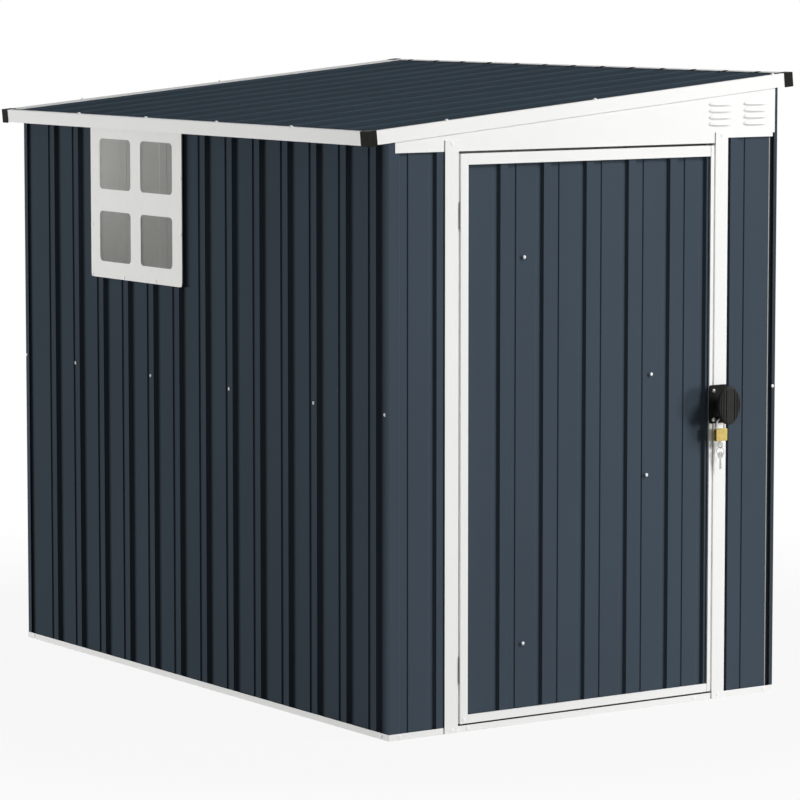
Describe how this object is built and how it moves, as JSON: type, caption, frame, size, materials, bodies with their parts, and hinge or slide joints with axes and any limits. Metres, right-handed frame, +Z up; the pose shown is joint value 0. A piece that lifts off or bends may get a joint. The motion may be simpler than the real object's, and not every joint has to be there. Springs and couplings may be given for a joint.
{
  "type": "metal lean-to garden shed",
  "caption": "Metal lean-to garden shed with a single-slope ribbed roof, ribbed blue-grey walls, white trims, a hinged door with an oval knob and padlock, and a fixed side window.",
  "frame": {"origin": "centre of the walls' footprint on the ground, which is also the centre of the anchor holes", "axes": "+X from the low wall to the high wall along the door wall, +Y from the door wall to the back wall, +Z up"},
  "size_m": [1.4458, 2.048, 1.7609],
  "materials": {
    "blue_grey_steel": "satin",
    "roof_steel": "satin",
    "white_steel": "satin",
    "white_plastic": "satin",
    "frosted_pane": "satin",
    "black_plastic": "satin",
    "brass": "satin",
    "zinc_steel": "satin"
  },
  "bodies": {
    "shed": {"base_rail_front": "white_steel", "base_rail_back": "white_steel", "base_rail_left": "white_steel", "base_rail_right": "white_steel", "corner_posts": "blue_grey_steel", "mid_rails": "blue_grey_steel", "top_rail_left": "blue_grey_steel", "top_rail_right": "blue_grey_steel", "top_rail_front": "blue_grey_steel", "top_rail_back": "blue_grey_steel", "front_wall_left": "blue_grey_steel", "front_wall_right": "blue_grey_steel", "left_wall_front": "blue_grey_steel", "left_wall_under_window": "blue_grey_steel", "left_wall_back": "blue_grey_steel", "right_wall": "blue_grey_steel", "back_wall": "blue_grey_steel", "gable_front": "white_steel", "gable_back": "white_steel", "door_jamb_hinge": "white_steel", "door_jamb_latch": "white_steel", "roof_beams": "blue_grey_steel", "roof_sheet_front": "roof_steel", "roof_sheet_middle": "roof_steel", "roof_sheet_back": "roof_steel", "eave_trim_low": "white_steel", "eave_trim_high": "white_steel", "gable_trim_front": "white_steel", "gable_trim_back": "white_steel", "corner_caps": "black_plastic", "window_frame": "white_plastic", "window_pane": "frosted_pane", "hinge_jamb_leaves": "zinc_steel"},
    "door": {"door_stile_hinge": "white_steel", "door_stile_latch": "white_steel", "door_rail_top": "white_steel", "door_rail_bottom": "white_steel", "door_panel": "blue_grey_steel", "door_brace_upper": "white_steel", "door_brace_lower": "white_steel", "hinge_door_leaves": "zinc_steel", "latch_plate": "black_plastic", "padlock_body": "brass", "padlock_shackle": "zinc_steel", "keys": "zinc_steel"},
    "knob": {"latch_knob": "black_plastic"}
  },
  "joints": [
    {"name": "door_swing", "type": "hinge", "parent": "shed", "child": "door", "pos_m": [-0.434, -0.9945, 0.78], "axis": [0, 0, -1], "range_deg": [0, 110]},
    {"name": "latch_turn", "type": "hinge", "parent": "door", "child": "knob", "pos_m": [0.449, -1.02, 0.837], "axis": [0, 1, 0], "range_deg": [0, 90]}
  ]
}
